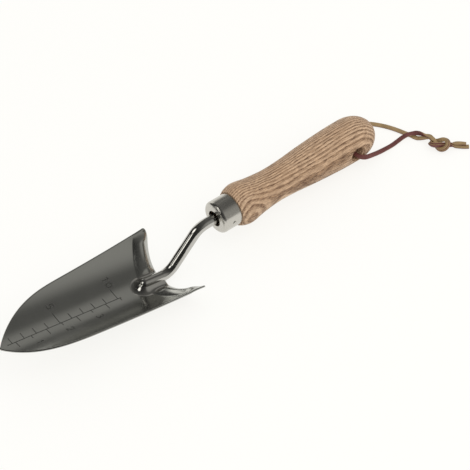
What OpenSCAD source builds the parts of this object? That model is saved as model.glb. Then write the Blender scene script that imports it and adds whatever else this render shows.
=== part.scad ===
// Hand trowel: pressed steel blade, cranked round neck bar with its tang,
// steel ferrule with a pin, turned ash handle and a leather hanging lace.
//
// The trowel lies on its back, as it is put down on a bench: the heel of the
// blade and the butt of the handle touch the surface, and the tip is raised.
// +X points from the tip to the butt, +Z up, millimetres. The origin is on the
// surface, under the middle of the trowel's length.

/* [Blade] */
// Length of the blade, from its tip to the line between its two horns
blade_l = 150; // [120:1:180]
// Width of the blade across its horns
blade_w = 72; // [60:1:90]
// Width of the blade where its tapering nose ends
nose_w = 59.5; // [48:0.5:74]
// Length of the tapering nose
nose_l = 70; // [50:1:90]
// Thickness of the steel sheet
sheet_t = 1.5; // [1.2:0.1:2.5]
// Depth of the trough at the horns
heel_depth = 20.5; // [12:0.5:26]
// Radius of the trough's cross-section near the tip
tip_trough_r = 47; // [40:1:80]
// How far the rear edge is cut in between the horns
rear_notch = 9.5; // [3:0.5:12]
// Radius of each horn's corner
horn_r = 3; // [1:0.5:8]
// Height of the rolled bead along the rear edge
bead_h = 2; // [0.5:0.1:3]
// Length of the bead on the middle line, from its crease to the horn line
bead_l = 28.5; // [22:0.5:36]
// Length of the bead along each side edge
bead_side_l = 13; // [8:0.5:16]

/* [Neck] */
// Diameter of the round neck bar
bar_d = 8.2; // [6:0.1:10]
// Distance from the ferrule's face to the corner of the first bend
crank_x = 14.8; // [10:0.2:24]
// Angle by which the neck drops from the handle's axis
crank_a = 46; // [35:1:55]
// Length between the corners of the two bends
crank_l = 40.4; // [34:0.2:52]
// Centre-line radius of the bend at the ferrule
bend_r = 15; // [10:1:20]
// Centre-line radius of the bend at the blade
heel_bend_r = 14; // [10:1:18]
// Angle between the blade's middle line and the handle's axis
blade_a = 11.5; // [4:0.5:20]
// Length of the foot that is welded to the blade, from the bend's corner
foot_l = 26; // [20:0.5:36]
// Distance from the bend's corner back to the horn line
horn_x = 4.6; // [0:0.2:8]
// Half the width of the weld fillet on each side of the foot
weld_w = 9; // [7:0.5:12]
// Height of the weld fillet against the foot
weld_h = 3.2; // [2:0.1:4]
// Depth of the tang, measured from the ferrule's face
tang_l = 78; // [50:1:100]

/* [Ferrule] */
// Outer diameter of the ferrule
ferrule_d = 25.2; // [20:0.2:32]
// Length of the ferrule
ferrule_l = 16; // [12:0.5:24]
// Wall thickness of the ferrule
ferrule_t = 1.2; // [0.8:0.1:2]
// Radius of the ferrule's rounded front edge
ferrule_edge_r = 3; // [1.5:0.1:4]
// Gap between the neck bar and the hole in the ferrule's face
face_gap = 2.2; // [1:0.1:3]
// Depth from the ferrule's face to the end of the wood inside it
wood_recess = 5; // [3:0.5:8]
// Diameter of the ferrule pin's shank
pin_d = 1.6; // [1.2:0.1:2.5]
// Diameter of the ferrule pin's head
pin_head_d = 2.8; // [2.2:0.1:4]
// Distance from the ferrule's face to the pin
pin_x = 9; // [6:0.5:12]

/* [Handle] */
// Length of the wood that shows, from the ferrule to the butt
grip_l = 136; // [110:0.5:160]
// Diameter of the swell behind the ferrule
swell_d = 32.6; // [28:0.2:38]
// Diameter of the waist
waist_d = 26.4; // [22:0.2:30]
// Diameter of the palm swell near the butt
palm_d = 34.2; // [30:0.2:40]
// Height of the wood's shoulder above the ferrule
shoulder_h = 1.2; // [0.5:0.1:2.5]
// Length of the rounded butt
butt_l = 22; // [16:0.5:30]
// Diameter of the hanging hole
hole_d = 11.4; // [8:0.2:13]
// Rounding of the hanging hole's rims
hole_rim_r = 2.4; // [1:0.1:5]
// Distance from the butt's end to the middle of the hanging hole
hole_from_end = 27; // [22:0.5:34]

/* [Lace] */
// Width of the flat leather lace
lace_w = 3.6; // [3:0.1:4.5]
// Thickness of the lace
lace_t = 1.8; // [1.2:0.1:2.2]

/* [Fits] */
// Clearance round the tang in the handle's bore
tang_fit = 0.05; // [0.02:0.01:0.2]
// Clearance between the wood and the inside of the ferrule
ferrule_fit = 0.05; // [0.02:0.01:0.2]
// Clearance round the pin's shank
pin_fit = 0.03; // [0.02:0.01:0.1]
// Gap between the weld fillet and the sheet's curved face
weld_fit = 0.06; // [0.02:0.01:0.1]

/* [Hidden] */

steel = "#8d8f8b";
dark_steel = "#5c5e5b";
satin_steel = "#a5a4a1";
ash = "#c39a70";
hide = "#7a4a42";

bar_r = bar_d / 2;
ferrule_r = ferrule_d / 2;
half_w = blade_w / 2;

// ---- the blade's own frame: origin on the trough's floor at the horn line, tip at -X

heel_trough_r = (half_w * half_w + heel_depth * heel_depth) / (2 * heel_depth);
blade_rows = 44;
blade_columns = 24;
tip_flat = 1.2;
nose_power = 3.05;
bead_power = 1.25;
bead_start_y = bar_r + 1.5;
bead_full_y = weld_w + 4.5;
bead_end_y = 6;

function clamp01(t) = min(max(t, 0), 1);
function ease(t) = let (c = clamp01(t)) c * c * (3 - 2 * c);
function spread(k, n) = (1 - cos(180 * k / n)) / 2;

// Straight side line of the blade, carried on to the tip
side_flare = (blade_w - nose_w) / 2 / (blade_l - nose_l);
function side_line(s) = nose_w / 2 + side_flare * (s - nose_l);
// How much the nose curves in from that line, and how much the horn's corner rounds off
function nose_cut(s) =
    (side_line(0) - tip_flat / 2) * pow(clamp01(1 - s / nose_l), nose_power);
function horn_cut(s) =
    let (d = max(0, s - blade_l + horn_r)) horn_r - sqrt(max(0, horn_r * horn_r - d * d));
// Half the blade's width at a distance s from the tip
function half_width(s) = side_line(s) - nose_cut(s) - horn_cut(s);
function trough_r(s) = tip_trough_r + (heel_trough_r - tip_trough_r) * s / blade_l;

function rear_x(y) = -rear_notch * (1 - pow(clamp01(abs(y) / half_w), 2));
function crease_x(y) =
    -bead_l + (bead_l - bead_side_l) * pow(clamp01(abs(y) / half_w), bead_power);
// Height of the rolled bead above the plain trough
function bead(x, y) =
    let (t = clamp01((x - crease_x(y)) / (rear_x(y) - crease_x(y))))
    bead_h * 4 * t * (1 - t) * ease((abs(y) - bead_start_y) / (bead_full_y - bead_start_y))
    * ease((half_w - abs(y)) / bead_end_y);

// A point of the sheet: u runs from tip to rear edge, v across, depth into the sheet
function sheet_point(u, v, depth) =
    let (s = u * (blade_l + rear_x(v * half_w)),
         y = v * half_width(s),
         r = trough_r(s),
         x = s - blade_l,
         side = y / r,
         up = sqrt(1 - side * side),
         lift = bead(x, y) - depth)
    [x, y - side * lift, r * (1 - up) + up * lift];

// ---- the side view, in the handle's frame: ferrule face at 0, handle along +X; [x, z]

function turn(p, a) = [p[0] * cos(a) + p[1] * sin(a), -p[0] * sin(a) + p[1] * cos(a)];
first_corner = [-crank_x, 0];
second_corner = first_corner + crank_l * [-cos(crank_a), -sin(crank_a)];
// The horn line on the trough's floor, one bar radius under the foot's axis
blade_at = second_corner + turn([horn_x, -bar_r], blade_a);
heel_turn = crank_a + blade_a;

grip_end = ferrule_l + grip_l;
butt_x = grip_end - butt_l;
palm_r = palm_d / 2;
hole_x = grip_end - hole_from_end;
spigot_r = ferrule_r - ferrule_t - ferrule_fit;

// Wood profile: places along the grip as shares of the length up to the butt
shoulder_r = ferrule_r + shoulder_h;
to_butt = butt_x - ferrule_l;
profile_knots = [
    [0, shoulder_r],
    [0.03, swell_d / 2 - 0.9],
    [0.08, swell_d / 2],
    [0.18, (swell_d + waist_d) / 4 - 0.2],
    [0.32, waist_d / 2],
    [0.46, waist_d / 2 + (palm_d - waist_d) * 0.06],
    [0.62, waist_d / 2 + (palm_d - waist_d) * 0.26],
    [0.84, palm_r - 0.35],
    [1, palm_r]
];
knot_steps = 5;
function knot_slope(k) =
    k == 0 ? 1.3 * (profile_knots[1][1] - profile_knots[0][1]) / profile_knots[1][0]
    : k == len(profile_knots) - 1 ? 0
    : (profile_knots[k + 1][1] - profile_knots[k - 1][1])
      / (profile_knots[k + 1][0] - profile_knots[k - 1][0]);
// Smooth curve through the knots, point i of knot_steps between knots k and k + 1
function profile_point(k, i) =
    let (t = i / knot_steps,
         a = profile_knots[k],
         b = profile_knots[k + 1],
         span = b[0] - a[0],
         keep = 2 * t * t * t - 3 * t * t + 1,
         r = keep * a[1] + (1 - keep) * b[1]
             + span * t * (1 - t) * ((1 - t) * knot_slope(k) - t * knot_slope(k + 1)))
    [ferrule_l + to_butt * (a[0] + span * t), r];
butt_steps = 14;
grip_profile = concat(
    [for (k = [0 : len(profile_knots) - 2], i = [0 : knot_steps - 1]) profile_point(k, i)],
    [for (i = [0 : butt_steps]) let (a = 90 * i / butt_steps)
        [butt_x + butt_l * sin(a), palm_r * cos(a)]]
);

// ---- how the trowel lies: it tilts until the heel and the butt are equally low

blade_outline = [for (k = [0 : 12]) let (x = -blade_l + k / 12 * (blade_l - rear_notch))
    blade_at + turn([x, -sheet_t], blade_a)];
grip_underside = [for (p = grip_profile) [p[0], -p[1]]];
function lowest(points, a) = min([for (p = points) turn(p, a)[1]]);
function balance(low_a, high_a, rounds) =
    let (a = (low_a + high_a) / 2)
    rounds == 0 ? a
    : lowest(grip_underside, a) < lowest(blade_outline, a) ? balance(low_a, a, rounds - 1)
    : balance(a, high_a, rounds - 1);
rest_a = balance(-30, 30, 24);
rest_z = -lowest(blade_outline, rest_a);
butt_reach = max([for (p = grip_profile) turn(p, rest_a)[0]]);
tip_reach = turn(blade_at + turn([-blade_l, -sheet_t], blade_a), rest_a)[0];
rest_x = -(butt_reach + tip_reach) / 2;

module at_rest() translate([rest_x, 0, rest_z]) rotate([0, rest_a, 0]) children();
module on_blade() translate([blade_at[0], 0, blade_at[1]]) rotate([0, blade_a, 0]) children();
module along_x() rotate([0, 90, 0]) children();

// ---- the lace: centre lines of its two legs and its two tails, on the bench

near_leg = [
    [201.8, -35, 3.9], [201.6, -30, 3.7], [200.6, -25.4, 3.5], [198.6, -21.8, 3.5],
    [195.4, -19.2, 3.6], [191.4, -17.4, 3.7], [187, -16.4, 3], [182.4, -15.9, 1.9],
    [177.8, -15.9, 1.6], [173, -16.3, 2.5], [168, -16.8, 4], [163, -17.4, 5.7],
    [158.2, -18, 7.7], [153.8, -18.6, 9.8], [149.8, -19, 11.6], [146.2, -18.6, 13],
    [143.6, -16.4, 13.9], [142.4, -12.6, 14.2], [142.2, -8, 14.2], [142.2, 0, 14.2]
];
far_leg = [
    [142.2, 0, 14.2], [142.2, 8, 14.2], [142.4, 12.6, 14.2], [143.6, 16.6, 13.9],
    [146.8, 19.6, 12.6], [151.6, 21.2, 10], [157, 21.8, 7.1], [162.6, 21.2, 4.5],
    [168.2, 19.6, 2.3], [173.6, 17.2, 1.3], [178.4, 13.6, 1.2], [182, 9.2, 1.2],
    [185, 4.6, 1.2], [187.8, -0.6, 1.2], [190.2, -6.4, 1.2], [192.2, -12.2, 1.2],
    [194.2, -18, 1.2], [196.2, -23.8, 1.2], [197.6, -29.6, 1.3], [198.4, -35, 1.5]
];
upper_tail = [[206.8, -45, 3.9], [209.6, -46.8, 3.7], [212.6, -49, 3.4], [215.4, -51.4, 3.1],
              [218, -53.8, 2.8]];
lower_tail = [[205.4, -46.8, 2.2], [208.6, -49, 1.5], [212, -51.4, 1.2], [215.4, -54, 1.2],
              [218.8, -56.8, 1.2]];
loop_path = concat(near_leg, [for (k = [1 : len(far_leg) - 1]) far_leg[k]]);
knot_middle = [201.4, -41.4, 4.9];
knot_long = 17;
knot_wide = 12;
knot_tall = 9.2;
knot_heading = -60;

lace_sides = 8;
function heading(path, k) =
    let (d = path[min(k + 1, len(path) - 1)] - path[max(k - 1, 0)]) d / norm(d);
function level(t) = let (w = [t[1], -t[0], 0]) w / norm(w);
function lace_ring(path, k) =
    let (t = heading(path, k), w = level(t), up = cross(w, t))
    [for (i = [0 : lace_sides - 1]) let (a = 360 * (i + 0.5) / lace_sides)
        path[k] + w * lace_w / 2 * cos(a) / cos(180 / lace_sides)
        + up * lace_t / 2 * sin(a) / cos(180 / lace_sides)];
module lace_tube(path) {
    rings = len(path);
    points = [for (k = [0 : rings - 1]) each lace_ring(path, k)];
    walls = [for (k = [0 : rings - 2], i = [0 : lace_sides - 1])
        let (j = (i + 1) % lace_sides, a = k * lace_sides)
        [a + i, a + j, a + lace_sides + j, a + lace_sides + i]];
    start_cap = [for (i = [lace_sides - 1 : -1 : 0]) i];
    end_cap = [for (i = [0 : lace_sides - 1]) (rings - 1) * lace_sides + i];
    polyhedron(points, concat(walls, [start_cap, end_cap]), convexity = 6);
}

// ---- sub-parts

// Pressed sheet: a tapering trough with a rolled bead along its rear edge
module blade() {
    n = blade_columns + 1;
    layer = (blade_rows + 1) * n;
    points = [for (depth = [0, sheet_t], i = [0 : blade_rows], j = [0 : blade_columns])
        sheet_point(spread(i, blade_rows), 2 * j / blade_columns - 1, depth)];
    face = [for (i = [0 : blade_rows - 1], j = [0 : blade_columns - 1]) let (a = i * n + j)
        each [[a, a + 1, a + n + 1], [a, a + n + 1, a + n]]];
    back = [for (f = face) [f[2] + layer, f[1] + layer, f[0] + layer]];
    side_edges = [for (i = [0 : blade_rows - 1]) let (a = i * n, b = a + blade_columns)
        each [[a, a + n, a + n + layer], [a, a + n + layer, a + layer],
              [b + n, b, b + layer], [b + n, b + layer, b + n + layer]]];
    end_edges = [for (j = [0 : blade_columns - 1]) let (a = j, b = blade_rows * n + j)
        each [[a + 1, a, a + layer], [a + 1, a + layer, a + 1 + layer],
              [b, b + 1, b + 1 + layer], [b, b + 1 + layer, b + layer]]];
    color(steel) at_rest() on_blade()
        polyhedron(points, concat(face, back, side_edges, end_edges), convexity = 4);
}

// A straight stretch of the bar from p to q, both [x, z]; it runs on a little inside the
// bends at its ends, so that the pieces join as one solid
module bar_between(p, q) {
    d = q - p;
    translate([p[0], 0, p[1]]) rotate([0, atan2(d[0], d[1]), 0]) translate([0, 0, -joint_lap])
        cylinder(h = norm(d) + 2 * joint_lap, r = straight_r, $fn = 64);
}

// A bend of the bar: middle [x, z], first and last angle seen along +Y, centre-line radius
module bar_bend(middle, from_a, to_a, radius) {
    translate([middle[0], 0, middle[1]]) rotate([90, 0, 0]) rotate([0, 0, from_a])
        rotate_extrude(angle = to_a - from_a, $fn = 96)
            translate([radius, 0]) circle(r = bar_r, $fn = 64);
}

joint_lap = 0.3;
straight_r = bar_r - 0.02;
first_back = bend_r * tan(crank_a / 2);
second_back = heel_bend_r * tan(heel_turn / 2);
down_line = [-cos(crank_a), -sin(crank_a)];
foot_line = [-cos(blade_a), sin(blade_a)];
bend_start = first_corner + [first_back, 0];
bend_end = first_corner + first_back * down_line;
heel_start = second_corner - second_back * down_line;
heel_end = second_corner + second_back * foot_line;
foot_end = second_corner + (foot_l - bar_r) * foot_line;
bend_middle = bend_start - [0, bend_r];
heel_middle = heel_end + heel_bend_r * [sin(blade_a), cos(blade_a)];
tang_point = 10;

// One round bar: foot on the blade, cranked neck, and the pointed tang in the handle
module neck_bar() {
    color(dark_steel) at_rest() union() {
        translate([foot_end[0], 0, foot_end[1]]) sphere(r = bar_r, $fn = 64);
        bar_between(foot_end, heel_end);
        bar_bend(heel_middle, -90 - blade_a, -90 + crank_a, heel_bend_r);
        bar_between(heel_start, bend_end);
        bar_bend(bend_middle, 90, 90 + crank_a, bend_r);
        along_x() rotate_extrude($fn = 64) polygon([
            [0, bend_start[0] - joint_lap], [straight_r, bend_start[0] - joint_lap],
            [straight_r, tang_l - tang_point], [bar_r / 3, tang_l], [0, tang_l]]);
    }
}

// Cross-section of the weld metal on one side: y outwards, z up from the trough's floor
module weld_section() {
    steps = 8;
    inner = bar_r * 0.8;
    polygon(concat([[0, -1], [weld_w, -1]],
        [for (i = [0 : steps]) let (t = i / steps)
            [weld_w - (weld_w - inner) * t, weld_fit + weld_h * t * t]],
        [[0, weld_fit + weld_h]]));
}

// Weld metal that fills the corner between the foot and the trough
module neck_weld() {
    nose_x = -horn_x - foot_l + bar_r;
    inside_r = min(trough_r(blade_l + nose_x), trough_r(blade_l - rear_notch)) - weld_fit;
    run = -rear_notch - 0.5 - nose_x;
    color(dark_steel) at_rest() on_blade() difference() {
        intersection() {
            union() {
                for (side = [0, 1]) mirror([0, side, 0])
                    translate([nose_x, 0, 0]) rotate([90, 0, 90])
                        linear_extrude(height = run) weld_section();
                translate([nose_x, 0, 0]) rotate_extrude($fn = 96) weld_section();
            }
            translate([nose_x - 2 * weld_w, 0, inside_r + weld_fit]) along_x()
                cylinder(h = run + 4 * weld_w, r = inside_r, $fn = 180);
        }
        translate([nose_x, 0, bar_r]) sphere(r = bar_r, $fn = 64);
        translate([nose_x, 0, bar_r]) along_x()
            cylinder(h = run + 4 * weld_w, r = bar_r, $fn = 64);
    }
}

face_hole_r = bar_r + face_gap;

// Outline of a rounded cup end: outer radius r, rounding e, from the face to x = length
function cup_outline(r, e, face, length) = concat(
    [[0, face]],
    [for (i = [0 : 10]) let (a = 9 * i) [r - e + e * sin(a), face + e - e * cos(a)]],
    [[r, length], [0, length]]
);

// Drawn steel cup with a rounded front edge and a round hole in its face
module ferrule() {
    color(satin_steel) at_rest() difference() {
        along_x() rotate_extrude($fn = 128) difference() {
            polygon(cup_outline(ferrule_r, ferrule_edge_r, 0, ferrule_l));
            polygon(cup_outline(ferrule_r - ferrule_t, ferrule_edge_r - ferrule_t,
                                ferrule_t, ferrule_l + 1));
        }
        translate([-1, 0, 0]) along_x() cylinder(h = ferrule_t + 2, r = face_hole_r, $fn = 96);
        translate([pin_x, 0, 0]) rotate([90, 0, 0])
            cylinder(h = ferrule_r + 1, r = pin_d / 2 + pin_fit, $fn = 32);
    }
}

pin_depth = ferrule_r - bar_r - 1.5;
pin_dome = 0.5;

// Small nail through the ferrule's wall into the wood
module ferrule_pin() {
    color(satin_steel) at_rest() translate([pin_x, -ferrule_r, 0]) rotate([90, 0, 0]) union() {
        translate([0, 0, -pin_depth]) cylinder(h = pin_depth + 0.2, r = pin_d / 2, $fn = 32);
        rotate_extrude($fn = 48) polygon(concat([[0, 0]],
            [for (i = [0 : 6]) let (a = 15 * i)
                [pin_head_d / 2 * cos(a), 0.1 + pin_dome * sin(a)]]));
    }
}

// Half of the hanging hole's tool, along +Z: a bore that opens out over a rounded rim
module hole_half() {
    rim_z = palm_r - hole_rim_r * 0.55;
    r = hole_d / 2;
    rotate_extrude($fn = 96) polygon(concat(
        [[0, -1], [r, -1]],
        [for (i = [0 : 9]) let (a = 8 * i)
            [r + hole_rim_r * (1 - cos(a)), rim_z - hole_rim_r * 0.45 + hole_rim_r * sin(a)]],
        [[r + hole_rim_r, palm_r + 2], [0, palm_r + 2]]));
}

// Turned ash: spigot in the ferrule, swell, waist, palm swell and round butt
module handle() {
    color(ash) at_rest() difference() {
        along_x() rotate_extrude($fn = 144) polygon(concat(
            [[0, wood_recess], [spigot_r - 0.8, wood_recess], [spigot_r, wood_recess + 0.8],
             [spigot_r, ferrule_l]],
            [for (p = grip_profile) [p[1], p[0]]]));
        translate([wood_recess - 1, 0, 0]) along_x()
            cylinder(h = tang_l - wood_recess + 2, r = bar_r + tang_fit, $fn = 64);
        translate([pin_x, 0, 0]) rotate([90, 0, 0])
            cylinder(h = ferrule_r, r = pin_d / 2 + pin_fit, $fn = 32);
        for (side = [-90, 90]) translate([hole_x, 0, 0]) rotate([side, 0, 0]) hole_half();
    }
}

// Flat lace through the hanging hole: one leg crosses over the other to the knot
module lace_loop() color(hide) lace_tube(loop_path);

// Outer shape of the overhand knot that ties the lace's two ends together
module lace_knot() {
    color(hide) translate(knot_middle) rotate([0, 0, knot_heading])
        scale([knot_long / knot_tall, knot_wide / knot_tall, 1])
            sphere(d = knot_tall, $fn = 28);
}

// The two cut ends of the lace beyond the knot
module lace_tails() color(hide) {
    lace_tube(upper_tail);
    lace_tube(lower_tail);
}

blade();
neck_bar();
neck_weld();
ferrule();
ferrule_pin();
handle();
lace_loop();
lace_knot();
lace_tails();
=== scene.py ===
# %% [markdown]
# # A hand trowel with a leather lace
# The trowel is a pressed steel blade on a cranked round bar, a steel ferrule, a turned ash
# handle and a lace knotted through the handle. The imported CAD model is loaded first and
# stays where it is: it says where each piece goes and how big it is. Everything below is in
# metres, in the same frame: +X from the tip to the butt, +Z up, the bench at Z = 0.

# %% Load the frame
import math

import bmesh
import bpy
import numpy as np
from mathutils import Matrix, Vector


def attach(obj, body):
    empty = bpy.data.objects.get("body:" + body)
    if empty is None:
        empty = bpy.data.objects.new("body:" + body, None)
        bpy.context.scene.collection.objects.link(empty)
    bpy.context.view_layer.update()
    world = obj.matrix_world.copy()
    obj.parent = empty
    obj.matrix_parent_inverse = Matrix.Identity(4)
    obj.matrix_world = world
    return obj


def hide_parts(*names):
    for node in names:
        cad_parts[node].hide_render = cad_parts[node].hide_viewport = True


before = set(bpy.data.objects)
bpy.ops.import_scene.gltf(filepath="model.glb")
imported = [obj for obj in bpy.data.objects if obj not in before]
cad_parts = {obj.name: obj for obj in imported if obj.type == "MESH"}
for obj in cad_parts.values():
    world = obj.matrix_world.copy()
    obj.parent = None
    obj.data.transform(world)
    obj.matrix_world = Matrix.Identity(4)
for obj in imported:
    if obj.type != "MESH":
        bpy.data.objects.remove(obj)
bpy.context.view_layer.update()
print("CAD nodes:", ", ".join(sorted(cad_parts)))

# %% [markdown]
# ## Four helpers
# Colours are written as sRGB hex values, as a paint chart gives them, and one function turns
# them to the linear values that the renderer works with. One function adds a shader node
# with its settings and its links, and one starts a material from a bare Principled shader.
# The last turns lists of points and faces into a smooth-shaded piece that rides on the
# trowel. The pieces could be modelled by hand, but every one of them follows a rule, so
# points worked out from that rule are cleaner and easy to change.

# %% Helpers for colours, nodes and pieces
MM = 0.001


def linear(hex_colour):
    parts = [int(hex_colour[i:i + 2], 16) / 255 for i in (1, 3, 5)]
    return [c / 12.92 if c <= 0.04045 else ((c + 0.055) / 1.055) ** 2.4 for c in parts] + [1.0]


def add_node(tree, kind, inputs=None, **settings):
    node = tree.nodes.new(kind)
    for name, value in settings.items():
        setattr(node, name, value)
    for socket, value in (inputs or {}).items():
        if isinstance(value, bpy.types.NodeSocket):
            tree.links.new(value, node.inputs[socket])
        else:
            node.inputs[socket].default_value = value
    return node


def new_piece(name, points_mm, faces, material):
    mesh = bpy.data.meshes.new(name)
    mesh.from_pydata([tuple(p) for p in np.asarray(points_mm) * MM], [], faces)
    mesh.update()
    mesh.shade_smooth()
    mesh.materials.append(material)
    piece = bpy.data.objects.new(name, mesh)
    bpy.context.scene.collection.objects.link(piece)
    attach(piece, "root")
    print(f"{name}: {len(mesh.vertices)} points, {len(mesh.polygons)} faces")
    return piece


def new_material(name):
    material = bpy.data.materials.new(name)
    material.use_nodes = True
    tree = material.node_tree
    tree.nodes.clear()
    shader = add_node(tree, "ShaderNodeBsdfPrincipled")
    add_node(tree, "ShaderNodeOutputMaterial", {"Surface": shader.outputs["BSDF"]})
    return material, tree, shader


print("helpers ready")

# %% [markdown]
# ## The camera
# A camera could be framed by eye in the viewport, but three named values are easier to
# repeat. A long lens from well back, above the tip and to the near side, keeps the
# trowel's two ends nearly at one scale. The camera is placed by where it stands, the point
# on the bench that it looks at, and a small roll about the line of sight, which is how a
# product shot is usually levelled.

# %% Camera
CAMERA_AT = Vector((-0.4196, -0.6665, 0.9656))
CAMERA_AIM = Vector((0.0323, -0.0021, 0.0))
CAMERA_ROLL = math.radians(-6.5)
LENS_MM = 130.2

camera_data = bpy.data.cameras.new("camera")
camera_data.lens = LENS_MM
camera_data.sensor_width = 36.0
camera_data.clip_start = 0.05
camera_data.clip_end = 60.0
camera = bpy.data.objects.new("camera", camera_data)
bpy.context.scene.collection.objects.link(camera)
camera.location = CAMERA_AT
turn = (CAMERA_AIM - CAMERA_AT).to_track_quat("-Z", "Y")
camera.rotation_mode = "QUATERNION"
camera.rotation_quaternion = turn @ Matrix.Rotation(CAMERA_ROLL, 3, "Z").to_quaternion()
bpy.context.scene.camera = camera
bpy.context.scene.view_settings.view_transform = "Standard"
print(f"camera {(CAMERA_AIM - CAMERA_AT).length:.3f} m from the bench point it aims at")

# %% [markdown]
# ## Leather for the lace
# The lace is cut from vegetable-tanned hide, dyed red-brown on its grain side. The flesh
# side keeps the tan of the hide, so the colour that shows depends on which face is up. Each
# point of the lace carries the side it is on, from +1 on the grain to -1 on the flesh, and
# the material mixes its two colours by that. Leather is rough, with an IOR near 1.5. Its
# pores are about 0.2 mm, drawn at 0.5 mm so that they show.

# %% Leather material
leather, tree, shader = new_material("vegetable_tanned_leather")
coords = add_node(tree, "ShaderNodeTexCoord").outputs["Object"]
side = add_node(tree, "ShaderNodeAttribute", attribute_name="side").outputs["Fac"]
wear = add_node(tree, "ShaderNodeTexNoise", {"Vector": coords, "Scale": 160.0, "Detail": 4.0})
pores = add_node(tree, "ShaderNodeTexNoise", {"Vector": coords, "Scale": 2000.0, "Detail": 2.0})
grain_side = add_node(tree, "ShaderNodeMixRGB", {
    "Fac": wear.outputs["Fac"], "Color1": linear("#4a2523"), "Color2": linear("#7a4640")})
flesh_side = add_node(tree, "ShaderNodeMixRGB", {
    "Fac": wear.outputs["Fac"], "Color1": linear("#77603f"), "Color2": linear("#a68c63")})
which = add_node(tree, "ShaderNodeMapRange", {
    "Value": side, "From Min": -0.5, "From Max": 0.3}, interpolation_type="SMOOTHSTEP")
hide_colour = add_node(tree, "ShaderNodeMixRGB", {
    "Fac": which.outputs["Result"], "Color1": flesh_side.outputs["Color"],
    "Color2": grain_side.outputs["Color"]})
bump = add_node(tree, "ShaderNodeBump", {
    "Height": pores.outputs["Fac"], "Strength": 0.35, "Distance": 0.0002})
tree.links.new(hide_colour.outputs["Color"], shader.inputs["Base Color"])
tree.links.new(bump.outputs["Normal"], shader.inputs["Normal"])
shader.inputs["Roughness"].default_value = 0.58
shader.inputs["IOR"].default_value = 1.5
print("leather: grain side red-brown, flesh side tan")

# %% [markdown]
# ## The lace, from hole to cut ends
# The lace runs through the hanging hole, both legs come down to the bench, one crosses over
# the other, and an overhand knot ties them together. A lace is limp across its flat side
# and stiff across its edge, so it turns as it goes: every station of its route says where
# its middle is, and a few keys say which way its grain side faces. Up to the knot, the
# stations are those of the CAD tube. The lace is built as two halves, one for each way out
# of the hole, and each begins in the middle of the hole.

# %% Lace sizes and the route of its two legs, in metres
LACE_W = 0.0036
LACE_T = 0.0018
NEAR_LEG = [
    (0.1422, 0, 0.0142), (0.1422, -0.008, 0.0142), (0.1424, -0.0126, 0.0142),
    (0.1436, -0.0164, 0.0139), (0.1462, -0.0186, 0.013), (0.1498, -0.019, 0.0116),
    (0.1538, -0.0186, 0.0098), (0.1582, -0.018, 0.0077), (0.163, -0.0174, 0.0057),
    (0.168, -0.0168, 0.004), (0.173, -0.0163, 0.0025), (0.1778, -0.0159, 0.0016),
    (0.1824, -0.0159, 0.0019), (0.187, -0.0164, 0.003), (0.1914, -0.0174, 0.0037),
    (0.1954, -0.0192, 0.0036), (0.1986, -0.0218, 0.0035)]
FAR_LEG = [
    (0.1422, 0, 0.0142), (0.1422, 0.008, 0.0142), (0.1424, 0.0126, 0.0142),
    (0.1436, 0.0166, 0.0139), (0.1468, 0.0196, 0.0126), (0.1516, 0.0212, 0.01),
    (0.157, 0.0218, 0.0071), (0.1626, 0.0212, 0.0045), (0.1682, 0.0196, 0.0023),
    (0.1736, 0.0172, 0.0013), (0.1784, 0.0136, 0.0012), (0.182, 0.0092, 0.0012),
    (0.185, 0.0046, 0.0012), (0.1878, -0.0006, 0.0012), (0.1902, -0.0064, 0.0012),
    (0.1922, -0.0122, 0.0012), (0.1942, -0.018, 0.0012), (0.1962, -0.0238, 0.0012)]
UPPER_TAIL = [(0.2142, -0.0502, 0.0031), (0.218, -0.0538, 0.0026)]
LOWER_TAIL = [(0.2148, -0.0534, 0.0013), (0.2184, -0.0566, 0.0013)]
print(f"{len(NEAR_LEG)} and {len(FAR_LEG)} stations on the two legs")

# %% [markdown]
# ## Tying the knot
# An overhand knot drawn by hand always cuts through itself somewhere. So it is tied loosely
# here, as a trefoil with two long ends, and then pulled tight: the ends move apart a little
# at a time, the line keeps its length, and no two parts of it may come closer than the
# thickness of the doubled lace. What is left when the ends stop giving is the real shape.

# %% Tie a loose overhand knot along Y, in mm
KNOT_STRAND = 3.3
KNOT_POINTS = 120
LOOSE_RADIUS, LOOSE_SWING = 5.0, 2.2
LOOSE_END_X, LOOSE_END_Y, LOOSE_LEAD = 3, 30, 5


def evenly(points, count):
    points = np.asarray(points, float)
    along = np.r_[0, np.cumsum(np.linalg.norm(np.diff(points, axis=0), axis=1))]
    at = np.linspace(0, along[-1], count)
    return np.column_stack([np.interp(at, along, points[:, k]) for k in range(3)])


def loose_knot():
    turn = np.linspace(0.1, 0.9, 80) * 2 * np.pi
    ring = LOOSE_RADIUS + LOOSE_SWING * np.cos(3 * turn)
    loop = np.column_stack([ring * np.cos(2 * turn) - LOOSE_RADIUS, ring * np.sin(2 * turn),
                            LOOSE_SWING * np.sin(3 * turn)])
    x, y, z = loop[0]
    x += LOOSE_END_X
    start = [(x, LOOSE_END_Y, 0), (x, y + LOOSE_LEAD, z)]
    end = [(x, -y - LOOSE_LEAD, -z), (x, -LOOSE_END_Y, 0)]
    return evenly(np.vstack([start, loop, end]), KNOT_POINTS)


loose_line = loose_knot()
print("loose knot, mm:", np.round(np.ptp(loose_line, axis=0), 1))

# %% [markdown]
# ## What the lace does when it is pulled
# Blender could simulate this with cloth or a rigid chain, but two plain rules on a line of
# points do it at once and give the same knot each time. Points that are too close push each
# other away, and points that are neighbours keep their spacing.

# %% Rules for a line that may not touch itself or stretch
PUSH_SHARE = 0.4
LEAST_SHARE = 0.6


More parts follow.
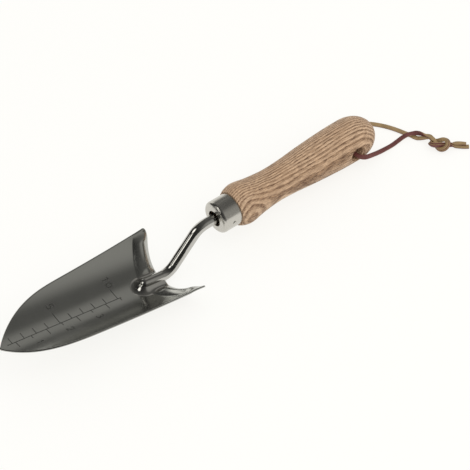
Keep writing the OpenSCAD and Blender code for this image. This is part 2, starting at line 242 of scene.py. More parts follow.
def keep_apart(line, first, second, least):
    gap = line[second] - line[first]
    far = np.linalg.norm(gap, axis=1)
    near = far < least
    if near.any():
        push = gap[near] * (PUSH_SHARE * (least - far[near]) / far[near])[:, None]
        move = np.zeros_like(line)
        share = np.ones(len(line)) * LEAST_SHARE
        np.add.at(move, first[near], -push)
        np.add.at(move, second[near], push)
        np.add.at(share, first[near], LEAST_SHARE)
        np.add.at(share, second[near], LEAST_SHARE)
        move /= np.maximum(share - LEAST_SHARE, LEAST_SHARE)[:, None]
        move[0] = move[-1] = 0
        line += move


def keep_length(line, step):
    for odd in (0, 1):
        k = np.arange(odd, len(line) - 1, 2)
        gap = line[k + 1] - line[k]
        far = np.linalg.norm(gap, axis=1)
        fix = gap * (0.5 * (far - step) / far)[:, None]
        line[k] += fix
        line[k + 1] -= fix


print("rules ready for strands of", KNOT_STRAND, "mm")

# %% [markdown]
# ## Pulling the knot tight
# Each pull moves the two ends a little apart and towards the middle line. The rules are then
# applied a dozen times, with a touch of smoothing for the leather's stiffness. When the
# spacing has to stretch, nothing gives any more and the knot is tight.

# %% Pull the two ends apart until nothing gives
KNOT_PULLS = 420
PULL = 0.06
PULL_INWARD = 0.98
ROUNDS = 12
STIFFNESS = 0.04
OWN_LENGTH = 1.45
STRETCHED = 1.05
LUMP_SHARE = 0.35


def tight_knot(line):
    step = np.linalg.norm(np.diff(line, axis=0), axis=1).mean()
    first, second = np.triu_indices(len(line), int(OWN_LENGTH * KNOT_STRAND / step))
    for _ in range(KNOT_PULLS):
        line[0, 1] += PULL
        line[-1, 1] -= PULL
        line[[0, -1]] *= (PULL_INWARD, 1, PULL_INWARD)
        for _ in range(ROUNDS):
            line[1:-1] += STIFFNESS * ((line[:-2] + line[2:]) / 2 - line[1:-1])
            keep_apart(line, first, second, KNOT_STRAND)
            keep_length(line, step)
        spacing = np.linalg.norm(np.diff(line, axis=0), axis=1)
        if np.percentile(spacing, 90) > STRETCHED * step:
            break
    return line


knot_line = tight_knot(loose_line)
lump = knot_line[np.abs(knot_line[:, 0]) > LUMP_SHARE * np.abs(knot_line[:, 0]).max()]
lump_middle = (lump.min(axis=0) + lump.max(axis=0)) / 2
print("knot's lump, mm:", np.round(np.ptp(lump, axis=0) + KNOT_STRAND, 1))

# %% [markdown]
# ## Two laces along one knot
# The knot was tied in the doubled lace, so its line is the seam between the two. It is laid
# on the bench beside the butt, and a frame is carried along it without twisting. Each lace
# then runs to one side of the seam by half its squeezed thickness, which keeps the two from
# cutting through each other.

# %% Place the knot beside the trowel, in mm
KNOT_AT = np.array([201.6, -41.4, 4.4])
KNOT_HEADING = math.radians(-62)
KNOT_REACH = 10.0
SEAM = 0.82


def unit(v):
    return v / np.linalg.norm(v, axis=-1, keepdims=True)


def tangents(line):
    return unit(np.gradient(line, axis=0))


def carried_frame(line, first_normal):
    along = tangents(line)
    normals = [unit(first_normal - along[0] * (first_normal @ along[0]))]
    for t in along[1:]:
        normals.append(unit(normals[-1] - t * (normals[-1] @ t)))
    return np.array(normals)


ahead = np.array([math.cos(KNOT_HEADING), math.sin(KNOT_HEADING), 0])
across = np.array([-ahead[1], ahead[0], 0])
up = np.array([0, 0, 1.0])
local = (knot_line - lump_middle)[np.abs(knot_line[:, 1]) < KNOT_REACH]
seam = KNOT_AT + local[:, :1] * across - local[:, 1:2] * ahead + local[:, 2:] * up
seam_normal = carried_frame(seam, up)
print("seam from", np.round(seam[0], 1), "to", np.round(seam[-1], 1))
print("normal at the end", np.round(seam_normal[-1], 2))

# %% [markdown]
# ## One smooth line per lace
# A leg, its way through the knot and its cut tail are joined by one smooth curve that passes
# through every station. A Bezier curve object could do it, but the line is needed as points,
# so that each point can say which way the grain side faces.

# %% Smooth a route and turn the grain side along it
CURVE_STEPS = 12


def smooth_line(stations, step):
    p = np.asarray(stations, float)
    p = np.vstack([2 * p[0] - p[1], p, 2 * p[-1] - p[-2]])
    out = []
    for a, b, c, d in zip(p[:-3], p[1:-2], p[2:-1], p[3:]):
        for t in np.linspace(0, 1, CURVE_STEPS, endpoint=False):
            out.append(0.5 * (2 * b + (c - a) * t + (2 * a - 5 * b + 4 * c - d) * t ** 2
                              + (3 * b - a - 3 * c + d) * t ** 3))
    out.append(p[-2])
    length = np.linalg.norm(np.diff(out, axis=0), axis=1).sum()
    return evenly(out, max(2, round(length / step)))


def facing_along(line, keys):
    at = np.r_[0, np.cumsum(np.linalg.norm(np.diff(line, axis=0), axis=1))]
    places = [k[0] for k in keys]
    normals = np.column_stack([np.interp(at, places, [k[1][i] for k in keys]) for i in range(3)])
    along = tangents(line)
    return unit(normals - along * (normals * along).sum(axis=1, keepdims=True))


print(f"a leg is smoothed with {CURVE_STEPS} points between two stations")

# %% [markdown]
# ## The strip of leather
# The lace was cut as a strip, so its section is flat with softly rounded edges, and its ends
# are cut square. A bevelled curve would give a round or a sharp section and would not follow
# the grain side, so the section is swept here as rings of points. Each ring's points also
# store the side of the hide that they are on, for the leather's two colours.

# %% Sweep a flat, round-edged section along a line
SECTION_POINTS = 20
EDGE_POWER, FACE_POWER = 0.45, 0.7


def lace_section():
    a = np.linspace(0, 2 * np.pi, SECTION_POINTS, endpoint=False)
    flat = np.sign(np.cos(a)) * np.abs(np.cos(a)) ** EDGE_POWER
    rise = np.sign(np.sin(a)) * np.abs(np.sin(a)) ** FACE_POWER
    return flat / 2, rise / 2


def sweep_lace(name, line, grain, width, thick):
    along = tangents(line)
    side = np.cross(along, grain)
    flat, rise = lace_section()
    rings = (line[:, None] + side[:, None] * flat[None, :, None] * width[:, None, None]
             + grain[:, None] * rise[None, :, None] * thick[:, None, None])
    count = len(flat)
    caps = [rings[0] * 0.5 + line[0] * 0.5, rings[-1] * 0.5 + line[-1] * 0.5]
    points = np.vstack([rings.reshape(-1, 3), *caps, [line[0]], [line[-1]]])
    faces = []
    for k in range(len(line) - 1):
        for i in range(count):
            a, b = k * count + i, k * count + (i + 1) % count
            faces.append((a, b, b + count, a + count))
    last = (len(line) - 1) * count
    inner = len(line) * count
    for i in range(count):
        j = (i + 1) % count
        faces.append((j, i, inner + i, inner + j))
        faces.append((inner + j, inner + i, inner + 2 * count))
        faces.append((last + i, last + j, inner + count + j, inner + count + i))
        faces.append((inner + count + i, inner + count + j, inner + 2 * count + 1))
    piece = new_piece(name, points, faces, leather)
    attribute = piece.data.attributes.new("side", "FLOAT", "POINT")
    sides = np.tile(rise * 2, len(line) + 2)
    attribute.data.foreach_set("value", np.r_[sides, 0, 0].astype(np.float32))
    return piece


print("lace section of", SECTION_POINTS, "points")

# %% [markdown]
# ## One lace from the hole to its cut end
# Inside the knot the two laces lie flat against each other along the seam, and they are
# squeezed a little thinner and narrower. Outside it, a few keys say which way the grain side
# faces at a distance along the line, and the lace turns evenly between them.

# %% Join leg, knot and tail
LACE_STEP = 0.55
THROUGH_STEP = 3
TURN_ROUNDS = 8
SQUEEZE_BEFORE, SQUEEZE_WITHIN = 4, 2
NARROWED, THINNED = 0.12, 0.1


def lace_half(name, leg, tail, side_of_seam, keys):
    through = seam + seam_normal * SEAM * side_of_seam
    leg = np.array(leg) / MM
    stations = np.vstack([leg, through[::THROUGH_STEP], np.array(tail) / MM])
    line = smooth_line(stations, LACE_STEP)
    to_knot = np.linalg.norm(line[:, None] - through[None], axis=2)
    enter = to_knot.argmin(axis=0)[0]
    leave = to_knot.argmin(axis=0)[-1]
    length = np.linalg.norm(np.diff(line, axis=0), axis=1)
    at = np.r_[0, np.cumsum(length)]
    grain = facing_along(line, keys(at[enter], at[leave], at[-1]))
    inside = np.arange(enter, leave + 1)
    nearest = to_knot[inside].argmin(axis=1)
    grain[inside] = -seam_normal[nearest]
    for _ in range(TURN_ROUNDS):
        grain[1:-1] = unit(grain[:-2] + 2 * grain[1:-1] + grain[2:])
    along = tangents(line)
    grain = unit(grain - along * (grain * along).sum(axis=1, keepdims=True))
    places = [at[enter] - SQUEEZE_BEFORE, at[enter] + SQUEEZE_WITHIN,
              at[leave] - SQUEEZE_WITHIN, at[leave] + SQUEEZE_BEFORE]
    squeezed = np.interp(at, places, [0, 1, 1, 0])
    width = LACE_W / MM * (1 - NARROWED * squeezed)
    thick = LACE_T / MM * (1 - THINNED * squeezed)
    piece = sweep_lace(name, line, grain, width, thick)
    print(f"{name}: {at[-1]:.1f} mm, lowest {line[:, 2].min():.2f} mm")
    return piece, line


print(f"points every {LACE_STEP} mm along each lace")

# %% [markdown]
# ## The two laces
# The near leg shows its red-brown grain side until it has crossed over, and then turns over
# before the knot. The far leg shows its tan side as soon as it lies on the bench. Each key
# is a distance in millimetres and a direction. Each lace starts in the hole and ends at its
# cut tail, and its length along the line is printed.


def near_facing(enter, leave, end):
    return [(0, (0, 0, 1)), (10, (0, 0, 1)), (17, (0, -0.5, 0.85)), (24, (0, -0.75, 0.65)),
            (33, (0, -0.5, 0.85)), (48, (0, -0.1, 1)), (enter - 16, (0, 0, 1)),
            (enter - 8, (-0.9, -0.5, 0.1)), (enter, (0, 0, -1)), (leave, (0, 0, -1)),
            (end, (-0.2, -0.2, -1))]


def far_facing(enter, leave, end):
    return [(0, (0, 0, 1)), (10, (0, 0, 1)), (18, (0, 0.6, 0.8)), (26, (0, 1, 0.2)),
            (36, (0, 0.9, -0.5)), (48, (0, 0.1, -1)), (enter, (0, 0, -1)),
            (leave, (0, 0, -1)), (end, (0, 0, -1))]


near_lace, near_line = lace_half("lace_near", NEAR_LEG, UPPER_TAIL, 1, near_facing)
far_lace, far_line = lace_half("lace_far", FAR_LEG, LOWER_TAIL, -1, far_facing)
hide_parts("lace_loop", "lace_knot")
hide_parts("lace_loop", "lace_tails")

# %% [markdown]
# ## Steel in three finishes
# The blade and the neck are stainless steel, pressed or bent and then tumbled and polished:
# a clear but soft mirror, with fine marks along the blade's length from the polishing belt.
# The ferrule is drawn steel with a satin finish. Stainless reflects about half of the light,
# a little warm, and a metal keeps its default IOR. Belt marks are some 0.05 mm apart, which
# would never show, so they are drawn at about 0.4 mm. All three finishes are the same nodes
# with other numbers, so one function makes them. The etched marks are steel that the acid
# has left dark and matt.

# %% Steel materials


def steel(name, colour, roughness, marks, stretch, strength):
    material, tree, shader = new_material(name)
    coords = add_node(tree, "ShaderNodeTexCoord").outputs["Object"]
    lined = add_node(tree, "ShaderNodeMapping", {"Vector": coords, "Scale": stretch})
    belt = add_node(tree, "ShaderNodeTexNoise", {
        "Vector": lined.outputs["Vector"], "Scale": marks, "Detail": 3.0})
    cloud = add_node(tree, "ShaderNodeTexNoise", {"Vector": coords, "Scale": 45.0, "Detail": 3.0})
    uneven = add_node(tree, "ShaderNodeMath", {
        0: belt.outputs["Fac"], 1: cloud.outputs["Fac"]}, operation="MULTIPLY")
    gloss = add_node(tree, "ShaderNodeMapRange", {
        "Value": uneven.outputs["Value"], "From Min": 0.12, "From Max": 0.42,
        "To Min": roughness * 0.8, "To Max": roughness * 1.25})
    bump = add_node(tree, "ShaderNodeBump", {
        "Height": belt.outputs["Fac"], "Strength": strength, "Distance": 0.00005})
    tree.links.new(gloss.outputs["Result"], shader.inputs["Roughness"])
    tree.links.new(bump.outputs["Normal"], shader.inputs["Normal"])
    shader.inputs["Base Color"].default_value = linear(colour)
    shader.inputs["Metallic"].default_value = 1.0
    return material


blade_steel = steel("polished_stainless_sheet", "#b5b5b0", 0.2, 2400.0, (0.05, 1, 1), 0.08)
bar_steel = steel("polished_round_bar", "#bdbbb6", 0.13, 2400.0, (0.1, 1, 1), 0.05)
satin_steel = steel("satin_drawn_steel", "#c4c1ba", 0.27, 2600.0, (0.04, 1, 1), 0.15)
etched, tree, shader = new_material("acid_etched_mark")
shader.inputs["Base Color"].default_value = linear("#454541")
shader.inputs["Metallic"].default_value = 0.6
shader.inputs["Roughness"].default_value = 0.6
print("steels:", blade_steel.name, bar_steel.name, satin_steel.name, etched.name)

# %% [markdown]
# ## The pressed blade
# The blade is one sheet, 1.5 mm thick: a trough that narrows to the tip, cut in at the rear
# between two horns, with a rolled bead behind a crease. It could be a flat plate with
# modifiers, but a polished sheet shows every unevenness, so its surface is worked out from
# the CAD sheet's rule. The bead is a little higher here and the horns' corners are rounder,
# as a press and a polishing wheel leave them.

# %% Sizes and rules of the sheet, in mm
BLADE_L, BLADE_W, NOSE_W, NOSE_L = 150, 72, 59.5, 70
SHEET_T, HEEL_DEPTH, TIP_TROUGH_R = 1.5, 20.5, 47
REAR_NOTCH, HORN_OUT, HORN_R, TIP_FLAT, NOSE_POWER = 9.5, 1.6, 5.5, 1.2, 3.05
BEAD_H, BEAD_L, BEAD_SIDE_L, BEAD_POWER = 2.9, 28.5, 13, 1.25
BEAD_START_Y, BEAD_FULL_Y, BEAD_END_Y = 5.6, 13.5, 6
BLADE_TILT = math.radians(16.7266)
BLADE_AT = (-24.714, -1.2976)
HALF_W = BLADE_W / 2
HEEL_TROUGH_R = (HALF_W ** 2 + HEEL_DEPTH ** 2) / (2 * HEEL_DEPTH)


def ease(t):
    t = np.clip(t, 0, 1)
    return t * t * (3 - 2 * t)


def side_line(s):
    return NOSE_W / 2 + (BLADE_W - NOSE_W) / 2 / (BLADE_L - NOSE_L) * (s - NOSE_L)


def half_width(s):
    nose = (side_line(0) - TIP_FLAT / 2) * np.clip(1 - s / NOSE_L, 0, 1) ** NOSE_POWER
    return side_line(s) - nose


def rear_x(y):
    over = np.clip(np.abs(y) / HALF_W, 0, 1)
    past = np.maximum(0, over * HALF_W - HALF_W + HORN_R)
    corner = HORN_R - np.sqrt(np.maximum(0, HORN_R ** 2 - past ** 2))
    return -REAR_NOTCH * (1 - over ** 2) + HORN_OUT * over ** 4 - corner


def bead(x, y):
    over = np.clip(np.abs(y) / HALF_W, 0, 1)
    crease = -BEAD_L + (BEAD_L - BEAD_SIDE_L) * over ** BEAD_POWER
    t = np.clip((x - crease) / (rear_x(y) - crease), 0, 1)
    middle = ease((np.abs(y) - BEAD_START_Y) / (BEAD_FULL_Y - BEAD_START_Y))
    return BEAD_H * 4 * t * (1 - t) * middle * ease((HALF_W - np.abs(y)) / BEAD_END_Y)


def on_sheet(s, y, depth):
    r = TIP_TROUGH_R + (HEEL_TROUGH_R - TIP_TROUGH_R) * s / BLADE_L
    x = s - BLADE_L
    side = y / r
    rise = np.sqrt(1 - side ** 2)
    lift = bead(x, y) - depth
    across, out = y - side * lift, r * (1 - rise) + rise * lift
    c, q = math.cos(BLADE_TILT), math.sin(BLADE_TILT)
    return np.stack([BLADE_AT[0] + x * c + out * q, across, BLADE_AT[1] - x * q + out * c],
                    axis=-1)


print(f"trough radius {TIP_TROUGH_R} mm at the tip, {HEEL_TROUGH_R:.1f} mm at the horns")

# %% [markdown]
# ## Two faces and a tumbled edge
# The sheared edges were tumbled round, so the two faces meet in a half circle all the way
# round. A bevel modifier would catch on the curved corners. Instead, both faces use one grid
# whose rows and columns crowd together at the edge, and each point sinks into the sheet by
# the height of a circle there.

# %% Build the sheet's two faces so that they meet in a rounded edge
EDGE_STEPS = 7
half_t = SHEET_T / 2
edge_in = half_t * (1 - np.cos(np.linspace(0, math.pi / 2, EDGE_STEPS)))
ROWS, COLUMNS = 230, 130
EVEN_SHARE = 0.3
TIP_EDGE = 2.5


def blade_grid():
    inner_u = (1 - np.cos(np.pi * np.linspace(0, 1, ROWS))) / 2
    even = np.linspace(-1, 1, COLUMNS)
    across = EVEN_SHARE * even + (1 - EVEN_SHARE) * np.sin(math.pi / 2 * even)
    edge_v = 1 - edge_in / HALF_W
    v = np.r_[-edge_v, across * (1 - half_t / HALF_W), edge_v[::-1]]
    rear = BLADE_L + rear_x(v * HALF_W)
    rows = [np.full_like(v, e) for e in edge_in]
    for u in inner_u[1:-1]:
        rows.append(half_t + u * (rear - 2 * half_t))
    rows += [rear - e for e in edge_in[::-1]]
    s = np.array(rows)
    w = half_width(s)
    shrink = np.minimum(1, w / (TIP_EDGE * half_t))
    flat = w - half_t * shrink
    y = np.empty_like(s)
    y[:, EDGE_STEPS:-EDGE_STEPS] = across * flat[:, EDGE_STEPS:-EDGE_STEPS]
    for k, e in enumerate(edge_in):
        y[:, k] = -(w[:, k] - e * shrink[:, k])
        y[:, -1 - k] = w[:, -1 - k] - e * shrink[:, -1 - k]
    inset = np.minimum.reduce([(w - np.abs(y)) / shrink, s, rear - s])
    inset = np.clip(inset, 0, half_t)
    bulge = half_t - np.sqrt(half_t ** 2 - (half_t - inset) ** 2)
    return s, y, bulge


s_grid, y_grid, bulge = blade_grid()
top = on_sheet(s_grid, y_grid, bulge)
bottom = on_sheet(s_grid, y_grid, SHEET_T - bulge)
rows, columns = s_grid.shape
points = np.vstack([top.reshape(-1, 3), bottom.reshape(-1, 3)])
below = rows * columns
faces = []
for i in range(rows - 1):
    for j in range(columns - 1):
        a = i * columns + j
        faces.append((a, a + columns, a + columns + 1, a + 1))
        faces.append((below + a, below + a + 1, below + a + columns + 1, below + a + columns))
blade = new_piece("blade_sheet", points, faces, blade_steel)
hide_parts("blade")

# %% [markdown]
# ## Closing the edge
# At the border the two faces have the same points twice. Joining them closes the sheet, so
# that the light runs round its edge, and the normals are made to point outwards.

# %% Join points that are in the same place
SAME_POINT = 0.002 * MM
NO_LENGTH = 1e-7


def join_edges(piece):
    work = bmesh.new()
    work.from_mesh(piece.data)
    bmesh.ops.remove_doubles(work, verts=work.verts, dist=SAME_POINT)
    bmesh.ops.dissolve_degenerate(work, edges=work.edges, dist=NO_LENGTH)
    bmesh.ops.recalc_face_normals(work, faces=work.faces)
    work.to_mesh(piece.data)
    work.free()
    piece.data.shade_smooth()
    print(f"{piece.name}: {len(piece.data.vertices)} points after joining the edges")


join_edges(blade)

# %% [markdown]
# ## The etched scale
# A depth scale is etched into the trough: a line up the middle with a mark at each
# centimetre on one side and at each half inch on the other, and plain numerals. Etching
# leaves the steel dark and matt. Each mark is a ribbon that follows the sheet a hair above
# it, so it stays sharp at any distance, and the numerals are a few strokes each.

# %% Ribbons that follow the sheet, in mm
MARK_W, MARK_RISE, MARK_STEP = 0.55, 0.03, 0.5
mark_points, mark_faces = [], []


def ribbon(corners):
    length = np.linalg.norm(np.diff(corners, axis=0), axis=1).sum()
    line = evenly([(*c, 0) for c in corners], max(2, round(length / MARK_STEP)))[:, :2]
    along = np.gradient(line, axis=0)
    aside = unit(np.column_stack([-along[:, 1], along[:, 0]])) * MARK_W / 2
    first = len(mark_points)
    for s_y, off in zip(line, aside):
        for edge in (-1, 1):
            s, y = s_y + edge * off
            mark_points.append(on_sheet(s, y, -MARK_RISE))
    for k in range(len(line) - 1):
        a = first + 2 * k
        mark_faces.append((a, a + 1, a + 3, a + 2))


print(f"marks {MARK_W} mm wide")

# %% [markdown]
# ## Numerals
# Each numeral is a few straight strokes in a box one unit wide and high. A text object would
# have to be bent to the trough; strokes go through the same ribbon as the marks do. They
# stand with their tops towards the handle.

# %% Strokes of the numerals
NUMERAL_H, NUMERAL_W, NUMERAL_GAP = 5.4, 3.4, 1.2
STROKES = {
    "0": [[(0.5, 0), (0.9, 0.2), (1, 0.5), (0.9, 0.8), (0.5, 1), (0.1, 0.8), (0, 0.5),
           (0.1, 0.2), (0.5, 0)]],
    "1": [[(0.15, 0.72), (0.55, 1), (0.55, 0)]],
    "2": [[(0.05, 0.78), (0.3, 1), (0.75, 0.98), (0.95, 0.75), (0.8, 0.5), (0, 0), (1, 0)]],
    "3": [[(0.05, 0.9), (0.5, 1), (0.9, 0.8), (0.75, 0.56), (0.4, 0.52), (0.75, 0.48),
           (1, 0.24), (0.6, 0), (0, 0.1)]],
    "5": [[(0.9, 1), (0.2, 1), (0.12, 0.56), (0.55, 0.62), (0.95, 0.42), (0.9, 0.12),
           (0.5, 0), (0.05, 0.1)]],
}


def numerals(text, s, y):
    whole = len(text) * NUMERAL_W + (len(text) - 1) * NUMERAL_GAP
    for k, digit in enumerate(text):
        left = y + whole / 2 - k * (NUMERAL_W + NUMERAL_GAP)
        for stroke in STROKES[digit]:
            ribbon([(s + (b - 0.5) * NUMERAL_H, left - a * NUMERAL_W) for a, b in stroke])


print("numerals:", " ".join(STROKES))

# %% [markdown]
# ## The scale
# The line starts a little behind the tip and ends past ten centimetres. Every fifth
# centimetre mark is long and numbered. On the other side, the marks at the odd half inches
# are the longer ones, and the numerals stand behind the whole inches.

# %% Lines, marks and numerals
CENTIMETRE, HALF_INCH = 10, 12.7
LINE_START, LINE_END = 6, 103
FIFTH_MARK, CENTIMETRE_MARK = 10, 5.5
LONG_INCH_MARK, SHORT_INCH_MARK = -5.5, -2.8
CM_NUMERAL_BEHIND, CM_NUMERAL_ASIDE = 1.5, 15.5
INCH_NUMERAL_BEHIND, INCH_NUMERAL_ASIDE = 1.6, -8.8
ribbon([(LINE_START, 0), (LINE_END, 0)])
for k in range(1, 11):
    ribbon([(CENTIMETRE * k, 0), (CENTIMETRE * k, CENTIMETRE_MARK if k % 5 else FIFTH_MARK)])
for k in range(1, 9):
    ribbon([(HALF_INCH * k, 0), (HALF_INCH * k, LONG_INCH_MARK if k % 2 else SHORT_INCH_MARK)])
for k in (5, 10):
    numerals(str(k), CENTIMETRE * k + CM_NUMERAL_BEHIND, CM_NUMERAL_ASIDE)
for k in (1, 2, 3):
    numerals(str(k), 2 * HALF_INCH * k + INCH_NUMERAL_BEHIND, INCH_NUMERAL_ASIDE)
new_piece("etched_scale", mark_points, mark_faces, etched)

# %% [markdown]
# ## The weld round the foot
# The foot of the neck lies in the trough, and the weld metal round it was ground and
# polished to one smooth hollow. A boolean with a rounded tool could cut that, but it leaves
# uneven faces. So a fillet is built here: it starts level with the sheet, climbs the side of
# the bar, goes round the foot's nose and is rounded off at the rear edge.

# %% Fillet of weld metal round the foot
FOOT_NOSE_S, FOOT_END_S = 123.5, 140.3
FILLET_REACH, FILLET_INNER, FILLET_RISE, FILLET_POWER = 10.4, 3.3, 6.0, 2.0
FILLET_SINK = 0.4
END_ROUND, END_DROP = 2.5, 0.96
FILLET_STEPS, RUN_STEPS, NOSE_STEPS = 24, 40, 48
rear_run = np.linspace(FOOT_END_S, FOOT_NOSE_S, RUN_STEPS)
round_nose = np.linspace(-math.pi / 2, math.pi / 2, NOSE_STEPS)[1:-1]
track = [(s, 0, 0, -1) for s in rear_run]
track += [(FOOT_NOSE_S, 0, -math.cos(a), math.sin(a)) for a in round_nose]
track += [(s, 0, 0, 1) for s in rear_run[::-1]]
t = np.linspace(0, 1, FILLET_STEPS)
fillet_points = []
for s, y, out_s, out_y in track:
    reach = FILLET_REACH - (FILLET_REACH - FILLET_INNER) * t
    drop = np.clip(1 - (FOOT_END_S - s) / END_ROUND, 0, 1)
    rise = FILLET_RISE * t ** FILLET_POWER * np.sqrt(1 - END_DROP * drop ** 2)
    hollow = on_sheet(s + out_s * reach, y + out_y * reach, -rise)
    ends = reach[[-1, 0]]
    base = on_sheet(s + out_s * ends, y + out_y * ends, FILLET_SINK)
    fillet_points.append(np.vstack([hollow, base]))
ring = FILLET_STEPS + 2
last = (len(track) - 1) * ring
fillet_faces = [tuple(range(ring)), tuple(range(last + ring - 1, last - 1, -1))]
for k in range(len(track) - 1):
    for i in range(ring):
        a, b = k * ring + i, k * ring + (i + 1) % ring
        fillet_faces.append((a, a + ring, b + ring, b))
fillet = new_piece("weld_fillet", np.vstack(fillet_points), fillet_faces, bar_steel)
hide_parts("neck_weld")
join_edges(fillet)

# %% [markdown]
# ## Neck, ferrule and pin
# The neck is one round bar, bent twice, and its far end is the tang inside the handle. The
# ferrule is a drawn cup with a rounded edge, and a small pin holds it. Their CAD solids have
# the true curves already, so they only need their finishes: a clear mirror for the bar and a
# satin one for the ferrule.

# %% Finishes for the CAD's metal parts


def finish_node(name, material):
    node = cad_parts[name]
    node.data.materials.clear()
    node.data.materials.append(material)
    print(f"{name}: {len(node.data.polygons)} faces in {material.name}")


finish_node("neck_bar", bar_steel)
finish_node("ferrule", satin_steel)
finish_node("ferrule_pin", satin_steel)

# %% [markdown]
# ## Turned ash
# The handle is turned from ash and waxed. Ash is ring-porous: each year starts with a band
# of open pores, dark and rough, and goes on to dense pale wood. The rings are some 1.9 mm
# apart and stand round a pith that was well outside the handle, and a little off its line,
# so they show as long streaks on one side and as broad arches where the turning cuts across
# them. A wave texture would wrap the same lines round the handle. The rings are therefore
# worked out in the solid, from the distance to that pith, and the same wood shows right
# through the hole and round the butt.

# %% Year rings of the ash
HANDLE_TILT = math.radians(5.2266)
PITH_SLANT = math.radians(2.2)
PITH = (0.0, 0.033, 0.036)
RING = 0.0019
ash, tree, shader = new_material("waxed_ash")
coords = add_node(tree, "ShaderNodeTexCoord").outputs["Object"]
along = add_node(tree, "ShaderNodeVectorRotate", {
    "Vector": coords, "Axis": (0, 1, 0), "Angle": -HANDLE_TILT},
    rotation_type="AXIS_ANGLE").outputs["Vector"]
slanted = add_node(tree, "ShaderNodeVectorRotate", {
    "Vector": along, "Axis": (0, -0.3, 1), "Angle": PITH_SLANT}, rotation_type="AXIS_ANGLE")
long_way = add_node(tree, "ShaderNodeMapping", {"Vector": along, "Scale": (0.35, 1, 1)})
wander = add_node(tree, "ShaderNodeTexNoise", {
    "Vector": long_way.outputs["Vector"], "Scale": 60.0, "Detail": 2.0})
moved = add_node(tree, "ShaderNodeVectorMath", {
    0: wander.outputs["Color"], 1: (0.0, 0.004, 0.004)}, operation="MULTIPLY")
bent = add_node(tree, "ShaderNodeVectorMath", {
    0: slanted.outputs["Vector"], 1: moved.outputs["Vector"]}, operation="ADD")
from_pith = add_node(tree, "ShaderNodeVectorMath", {
    0: bent.outputs["Vector"], 1: PITH}, operation="SUBTRACT")
across = add_node(tree, "ShaderNodeVectorMath", {
    0: from_pith.outputs["Vector"], 1: (0.0, 1.0, 1.0)}, operation="MULTIPLY")
radius = add_node(tree, "ShaderNodeVectorMath", {0: across.outputs["Vector"]},
                  operation="LENGTH")
rings = add_node(tree, "ShaderNodeMath", {
    0: radius.outputs["Value"], 1: 1 / RING}, operation="MULTIPLY")
year = add_node(tree, "ShaderNodeMath", {0: rings.outputs["Value"]}, operation="FRACT")
early = add_node(tree, "ShaderNodeValToRGB", {"Fac": year.outputs["Value"]})
ramp = early.color_ramp
ramp.elements[0].position, ramp.elements[0].color = 0.0, (0.7, 0.7, 0.7, 1)
ramp.elements[1].position, ramp.elements[1].color = 1.0, (0.7, 0.7, 0.7, 1)
for place, value in ((0.12, 1.0), (0.34, 0.6), (0.6, 0.12), (0.88, 0.1)):
    ramp.elements.new(place).color = (value, value, value, 1)
print(f"rings {RING / MM:.1f} mm apart")

# %% [markdown]
# ## Pores
# Real pores are 0.3 mm wide and a few millimetres long, drawn at about 0.5 mm so that they
# show. They are noise that is stretched along the grain. Most stand in the early band of
# each year and some in the late wood, so the noise is scaled by the rings.

# %% Pores of the ash
fibres = add_node(tree, "ShaderNodeMapping", {"Vector": along, "Scale": (0.07, 1, 1)})
fine = add_node(tree, "ShaderNodeTexNoise", {
    "Vector": fibres.outputs["Vector"], "Scale": 2000.0, "Detail": 3.0, "Roughness": 0.65})
pore = add_node(tree, "ShaderNodeMapRange", {
    "Value": fine.outputs["Fac"], "From Min": 0.42, "From Max": 0.6},
    interpolation_type="SMOOTHSTEP")
pore_share = add_node(tree, "ShaderNodeMapRange", {
    "Value": early.outputs["Color"], "To Min": 0.35, "To Max": 1.0})
pores = add_node(tree, "ShaderNodeMath", {
    0: pore.outputs["Result"], 1: pore_share.outputs["Result"]}, operation="MULTIPLY")
print("pores drawn at", round(1 / fine.inputs["Scale"].default_value / MM, 2), "mm")

# %% [markdown]
# ## Colour and wax
# The late wood is pale and the early bands are browner, and dust and wax darken the pores.
# Wax gives a soft sheen between the pores, with a roughness near 0.5 and an IOR of 1.5, and
# leaves the pores dull and a little sunk.

# %% Colours, dents and sheen of the ash
broad = add_node(tree, "ShaderNodeTexNoise", {
    "Vector": long_way.outputs["Vector"], "Scale": 70.0, "Detail": 2.0})
pale = add_node(tree, "ShaderNodeMixRGB", {
    "Fac": broad.outputs["Fac"], "Color1": linear("#b08c6a"), "Color2": linear("#e0c2a1")})
band = add_node(tree, "ShaderNodeMath", {
    0: early.outputs["Color"], 1: 0.7}, operation="MULTIPLY")
banded = add_node(tree, "ShaderNodeMixRGB", {
    "Fac": band.outputs["Value"], "Color1": pale.outputs["Color"],
    "Color2": linear("#84603f")})
wood = add_node(tree, "ShaderNodeMixRGB", {
    "Fac": pores.outputs["Value"], "Color1": banded.outputs["Color"],
    "Color2": linear("#5f432f")})
dents = add_node(tree, "ShaderNodeMath", {0: 1.0, 1: pores.outputs["Value"]},
                 operation="SUBTRACT")
bump = add_node(tree, "ShaderNodeBump", {
    "Height": dents.outputs["Value"], "Strength": 0.6, "Distance": 0.0003})
gloss = add_node(tree, "ShaderNodeMapRange", {
    "Value": pores.outputs["Value"], "To Min": 0.48, "To Max": 0.8})
tree.links.new(wood.outputs["Color"], shader.inputs["Base Color"])
tree.links.new(bump.outputs["Normal"], shader.inputs["Normal"])
tree.links.new(gloss.outputs["Result"], shader.inputs["Roughness"])
shader.inputs["IOR"].default_value = 1.5
finish_node("handle", ash)

# %% [markdown]
# ## The floor
# The floor is a plain sheet of opal acrylic, lit from below as on a product table, so that
# hardly any shadow shows. A white card would take a grey shadow from the tent's light. The
# sheet gives most of its light itself and scatters only a little of what falls on it, so the
# eye sees one even white with no gloss.

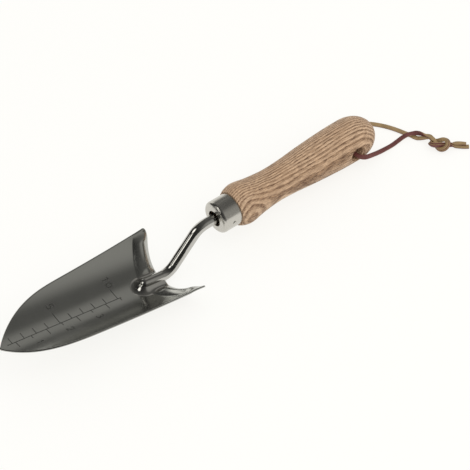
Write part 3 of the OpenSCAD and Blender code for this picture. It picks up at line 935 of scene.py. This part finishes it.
# %% Floor
FLOOR_M = 8
bpy.ops.mesh.primitive_plane_add(size=FLOOR_M)
floor = bpy.context.object
floor.name = "floor"
floor_sheet, tree, shader = new_material("opal_acrylic")
shader.inputs["Base Color"].default_value = (0.15, 0.15, 0.15, 1)
shader.inputs["Emission Color"].default_value = linear("#fffefa")
shader.inputs["Emission Strength"].default_value = 0.83
shader.inputs["Roughness"].default_value = 0.9
shader.inputs["Specular IOR Level"].default_value = 0.0
floor.data.materials.append(floor_sheet)
print(f"floor {FLOOR_M} m square")

# %% [markdown]
# ## A light tent with panels
# The light is soft and comes from all round, as in a light tent. What the steel mirrors is
# kept darker than the tent, with a few pale panels, because polished steel looks like steel
# only when there are darks for it to show. Real panels would be objects that the wood also
# sees; here the world tells mirrored rays from the others. Each panel is a direction, the
# cosines at which it fades out and is full, and its strength.

# %% Light tent
TENT_STRENGTH = 0.95
DARK_AT_TIP, DARK_AT_BUTT = 0.03, 0.125
world = bpy.data.worlds.new("light_tent")
bpy.context.scene.world = world
world.use_nodes = True
tree = world.node_tree
tree.nodes.clear()
direction = add_node(tree, "ShaderNodeTexCoord").outputs["Generated"]
sideways = add_node(tree, "ShaderNodeSeparateXYZ", {"Vector": direction}).outputs["X"]
PANELS = [
    # Broad and dim: one for the trough's middle, one for its far wall.
    ((0.72, 0.53, 0.45), 0.93, 0.99, 0.22),
    ((0.6, -0.72, 0.35), 0.72, 1.0, 0.27),
    # Small and bright, beyond the tip: two for the streaks on the neck's slope, one for the
    # glints on its foot, its bends and the ferrule.
    ((-0.81, 0.0, 0.586), 0.988, 0.996, 2.6),
    ((-0.724, 0.486, 0.488), 0.993, 0.998, 1.4),
    ((-0.55, 0.2, 0.8), 0.97, 0.985, 2.2),
    # Low on the far side, for the near horn and the top of the ferrule.
    ((0.18, 0.97, 0.14), 0.94, 0.98, 1.1),
]
shown = add_node(tree, "ShaderNodeMapRange", {
    "Value": sideways, "From Min": -0.4, "From Max": 0.5, "To Min": DARK_AT_TIP,
    "To Max": DARK_AT_BUTT}).outputs["Result"]
for toward, outer, inner, strength in PANELS:
    toward = Vector(toward).normalized()
    facing = add_node(tree, "ShaderNodeVectorMath", {0: direction, 1: toward},
                      operation="DOT_PRODUCT")
    panel = add_node(tree, "ShaderNodeMapRange", {
        "Value": facing.outputs["Value"], "From Min": outer, "From Max": inner,
        "To Max": strength}, interpolation_type="SMOOTHSTEP")
    shown = add_node(tree, "ShaderNodeMath", {0: shown, 1: panel.outputs["Result"]},
                     operation="ADD").outputs["Value"]
mirrored = add_node(tree, "ShaderNodeBackground", {"Color": linear("#fdfcf7"), "Strength": shown})
tent = add_node(tree, "ShaderNodeBackground", {
    "Color": (1, 1, 1, 1), "Strength": TENT_STRENGTH})
ray = add_node(tree, "ShaderNodeLightPath").outputs["Is Glossy Ray"]
either = add_node(tree, "ShaderNodeMixShader", {
    "Fac": ray, 1: tent.outputs["Background"], 2: mirrored.outputs["Background"]})
add_node(tree, "ShaderNodeOutputWorld", {"Surface": either.outputs["Shader"]})
print("tent with", len(PANELS), "panels")

# %% [markdown]
# ## The soft box
# One large soft box above the near side adds a little shape to the wood and the leather. It
# is hidden from mirrored rays, so that the steel shows only the panels.

# %% Soft box
box_light = bpy.data.lights.new("soft_box", "AREA")
box_light.shape = "SQUARE"
box_light.size = 1.2
box_light.energy = 9
soft_box = bpy.data.objects.new("soft_box", box_light)
bpy.context.scene.collection.objects.link(soft_box)
soft_box.location = (0.5, -0.9, 1.4)
soft_box.rotation_euler = (Vector((0, 0, 0)) - soft_box.location).to_track_quat(
    "-Z", "Y").to_euler()
soft_box.visible_glossy = False
print("soft box", box_light.energy, "W")
